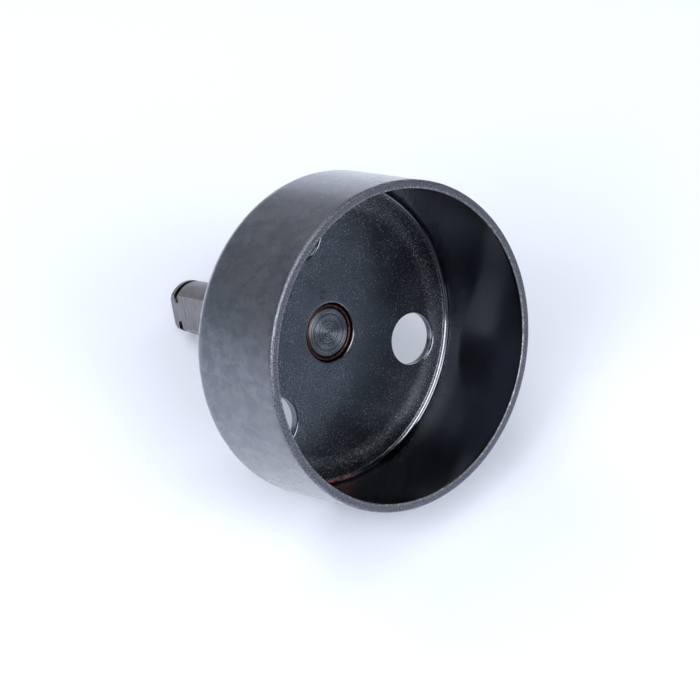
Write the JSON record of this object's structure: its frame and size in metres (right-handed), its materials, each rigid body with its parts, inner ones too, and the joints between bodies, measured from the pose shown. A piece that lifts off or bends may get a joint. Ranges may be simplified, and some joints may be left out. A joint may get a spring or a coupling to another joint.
{
  "type": "oil filter wrench",
  "caption": "Short round steel cup with a plain bore and a holed web, brazed to a round drive shank with milled flats and a ring groove, for turning a canister oil filter.",
  "frame": {"origin": "centre of the cup's mouth, in the plane of the rim", "axes": "+Z along the wrench's axis from the mouth to the shank's free end; +X through the centre of one of the web's three holes"},
  "size_m": [0.076, 0.076, 0.083],
  "materials": {
    "cup_steel": "black oxide over drawn steel, satin",
    "shank_steel": "turned and milled bar, thin brown-grey oxide",
    "braze": "copper braze, darkened by heat"
  },
  "bodies": {
    "root": {"filter_cup": "cup_steel", "drive_shank": "shank_steel", "braze_joint": "braze"}
  },
  "joints": []
}
